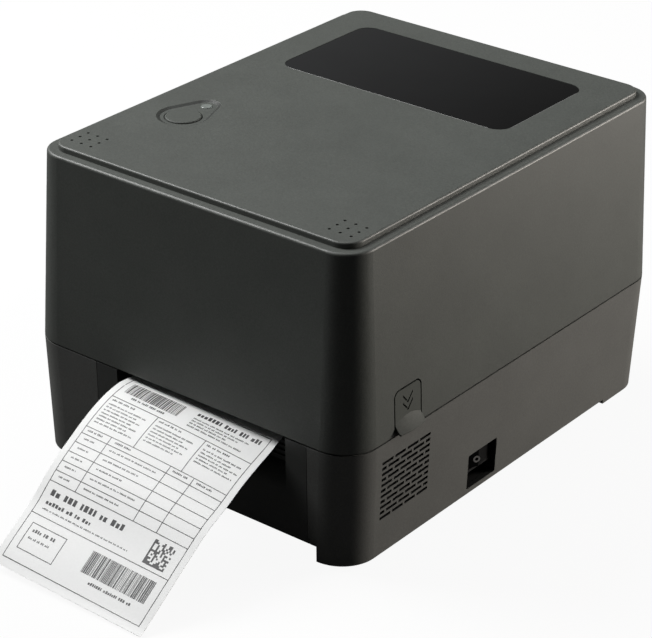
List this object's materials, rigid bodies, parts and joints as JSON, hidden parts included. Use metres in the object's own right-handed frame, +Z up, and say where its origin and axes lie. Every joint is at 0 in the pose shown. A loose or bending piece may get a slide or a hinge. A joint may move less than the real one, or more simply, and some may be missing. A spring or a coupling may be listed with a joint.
{
  "type": "label printer",
  "caption": "Desktop label printer: hinged clamshell cover with smoked window and side latches, feed button, rear-fed label roll, print mechanism and a printed label leaving the front.",
  "frame": {"origin": "on the surface the printer stands on, below the middle of its overall box with the fed label included", "axes": "+Z up; +Y from the label's free end towards the rear wall with the hinges; +X to the right seen from the front"},
  "size_m": [0.2386, 0.4064, 0.1895],
  "materials": {
    "case_plastic": "fine matte grain",
    "panel_plastic": "fine matte grain",
    "window_plastic": "smoked, smooth",
    "button_plastic": "fine matte grain",
    "lens_plastic": "clear, smooth",
    "inner_plastic": "plain moulded",
    "holder_plastic": "plain moulded",
    "gear_plastic": "plain moulded",
    "foot_rubber": "matte",
    "roller_rubber": "ground",
    "frame_steel": "zinc plated sheet",
    "shaft_steel": "ground",
    "screw_steel": "plated",
    "motor_steel": "black",
    "sink_aluminium": "extruded",
    "head_ceramic": "glazed ceramic",
    "board_laminate": "lacquered board",
    "socket_plastic": "plain moulded",
    "socket_steel": "plated",
    "rocker_plastic": "smooth",
    "label_paper": "coated paper",
    "core_board": "paper board",
    "ribbon_film": "coated film"
  },
  "bodies": {
    "base": {"base_shell": "case_plastic", "front_panel": "panel_plastic", "floor_plate": "case_plastic", "rubber_feet": "foot_rubber", "lower_frame": "frame_steel", "platen_bushes": "gear_plastic", "idler_stud": "shaft_steel", "stepper_motor": "motor_steel", "tear_bar": "frame_steel", "frame_rods": "shaft_steel", "base_screws": "screw_steel", "label_strip": "label_paper", "media_tray": "inner_plastic", "main_board": "board_laminate", "power_inlet": "socket_plastic", "usb_port": "socket_steel", "serial_port": "socket_steel", "power_switch": "socket_plastic", "hinge_brackets": "frame_steel", "latch_strikers": "shaft_steel"},
    "cover": {"cover_shell": "case_plastic", "window": "window_plastic", "status_lens": "lens_plastic", "button_board": "board_laminate", "cover_screws": "screw_steel", "hinge_pins": "shaft_steel", "ribbon_carriage": "frame_steel", "ribbon_idler_stud": "shaft_steel", "head_pivot_pin": "shaft_steel", "head_springs": "shaft_steel", "latch_spring_right": "shaft_steel", "latch_spring_left": "shaft_steel"},
    "platen": {"platen_shaft": "shaft_steel", "platen_roller": "roller_rubber", "platen_gear": "gear_plastic"},
    "drive_idler": {"idler_gear": "gear_plastic"},
    "motor_rotor": {"motor_shaft": "shaft_steel", "motor_pinion": "gear_plastic"},
    "sensor": {"label_sensor": "socket_plastic"},
    "media_roll": {"label_roll": "label_paper", "roll_core": "core_board"},
    "guide_right": {"media_guide_right": "holder_plastic"},
    "guide_left": {"media_guide_left": "holder_plastic"},
    "guide_gear": {"guide_pinion": "gear_plastic"},
    "rocker": {"power_rocker": "rocker_plastic"},
    "feed_key": {"feed_button": "button_plastic"},
    "latch_right": {"latch_tab_right": "case_plastic"},
    "latch_left": {"latch_tab_left": "case_plastic"},
    "hook_right": {"latch_hook_right": "inner_plastic"},
    "hook_left": {"latch_hook_left": "inner_plastic"},
    "ribbon_supply": {"supply_spindle": "inner_plastic", "supply_ribbon": "ribbon_film"},
    "ribbon_take_up": {"take_up_spindle": "inner_plastic", "take_up_ribbon": "ribbon_film", "take_up_gear": "gear_plastic"},
    "ribbon_gear": {"ribbon_idler": "gear_plastic"},
    "print_head": {"head_bracket": "frame_steel", "heat_sink": "sink_aluminium", "thermal_head": "head_ceramic"}
  },
  "joints": [
    {"name": "cover_hinge", "type": "hinge", "parent": "base", "child": "cover", "pos_m": [0, 0.19768, 0.078], "axis": [-1, 0, 0], "range_deg": [0, 90]},
    {"name": "latch_right_slide", "type": "slide", "parent": "cover", "child": "latch_right", "axis": [0.0485, 0, -0.9988], "range_m": [0, 0.0035], "stiffness_N_per_m": 300, "springref_m": -0.002, "deforming": ["latch_spring_right"]},
    {"name": "latch_left_slide", "type": "slide", "parent": "cover", "child": "latch_left", "axis": [-0.0485, 0, -0.9988], "range_m": [0, 0.0035], "stiffness_N_per_m": 300, "springref_m": -0.002, "deforming": ["latch_spring_left"]},
    {"name": "hook_right_pivot", "type": "hinge", "parent": "cover", "child": "hook_right", "pos_m": [0.1025, -0.04832, 0.092], "axis": [-1, 0, 0], "range_deg": [0, 19.5]},
    {"name": "hook_left_pivot", "type": "hinge", "parent": "cover", "child": "hook_left", "pos_m": [-0.1025, -0.04832, 0.092], "axis": [-1, 0, 0], "range_deg": [0, 19.5]},
    {"name": "feed_button_press", "type": "slide", "parent": "cover", "child": "feed_key", "axis": [0, 0, -1], "range_m": [0, 0.001], "stiffness_N_per_m": 400, "springref_m": -0.001},
    {"name": "power_rocker_tilt", "type": "hinge", "parent": "base", "child": "rocker", "pos_m": [0.1056, 0.02838, 0.021], "axis": [0, 0, 1], "range_deg": [0, 22]},
    {"name": "platen_spin", "type": "hinge", "parent": "base", "child": "platen", "pos_m": [0, -0.06982, 0.06], "axis": [1, 0, 0], "continuous": true},
    {"name": "idler_spin", "type": "hinge", "parent": "base", "child": "drive_idler", "pos_m": [-0.057, -0.04832, 0.0461], "axis": [1, 0, 0], "continuous": true},
    {"name": "motor_spin", "type": "hinge", "parent": "base", "child": "motor_rotor", "pos_m": [-0.057, -0.03032, 0.03739], "axis": [1, 0, 0], "continuous": true},
    {"name": "sensor_slide", "type": "slide", "parent": "base", "child": "sensor", "axis": [1, 0, 0], "range_m": [-0.035, 0.035]},
    {"name": "media_roll_spin", "type": "hinge", "parent": "base", "child": "media_roll", "pos_m": [0.0113, 0.11618, 0.07], "axis": [1, 0, 0], "continuous": true},
    {"name": "guide_right_slide", "type": "slide", "parent": "base", "child": "guide_right", "axis": [1, 0, 0], "range_m": [0, 0.007]},
    {"name": "guide_left_slide", "type": "slide", "parent": "base", "child": "guide_left", "axis": [-1, 0, 0], "range_m": [0, 0.007]},
    {"name": "guide_pinion_spin", "type": "hinge", "parent": "base", "child": "guide_gear", "pos_m": [0.0113, 0.11618, 0.017], "axis": [0, 0, 1], "range_deg": [-68, 0]},
    {"name": "ribbon_supply_spin", "type": "hinge", "parent": "cover", "child": "ribbon_supply", "pos_m": [0.0113, 0.03818, 0.128], "axis": [1, 0, 0], "continuous": true},
    {"name": "ribbon_take_up_spin", "type": "hinge", "parent": "cover", "child": "ribbon_take_up", "pos_m": [0.0113, -0.02982, 0.132], "axis": [1, 0, 0], "continuous": true},
    {"name": "ribbon_idler_spin", "type": "hinge", "parent": "cover", "child": "ribbon_gear", "pos_m": [-0.058, -0.03782, 0.10684], "axis": [1, 0, 0], "continuous": true},
    {"name": "print_head_tilt", "type": "hinge", "parent": "cover", "child": "print_head", "pos_m": [0.0113, -0.03782, 0.092], "axis": [-1, 0, 0], "range_deg": [0, 2], "stiffness_Nm_per_rad": 2, "springref_deg": -8.59, "deforming": ["head_springs"]}
  ],
  "couplings": [
    {"joint": "hook_right_pivot", "follows": "latch_right_slide", "rad_per_m": 92},
    {"joint": "hook_left_pivot", "follows": "latch_left_slide", "rad_per_m": 92},
    {"joint": "idler_spin", "follows": "platen_spin", "ratio": -0.77778},
    {"joint": "motor_spin", "follows": "platen_spin", "ratio": 2},
    {"joint": "guide_left_slide", "follows": "guide_right_slide", "ratio": 1},
    {"joint": "guide_pinion_spin", "follows": "guide_right_slide", "rad_per_m": -166.67},
    {"joint": "ribbon_idler_spin", "follows": "ribbon_take_up_spin", "ratio": -1.5385}
  ]
}
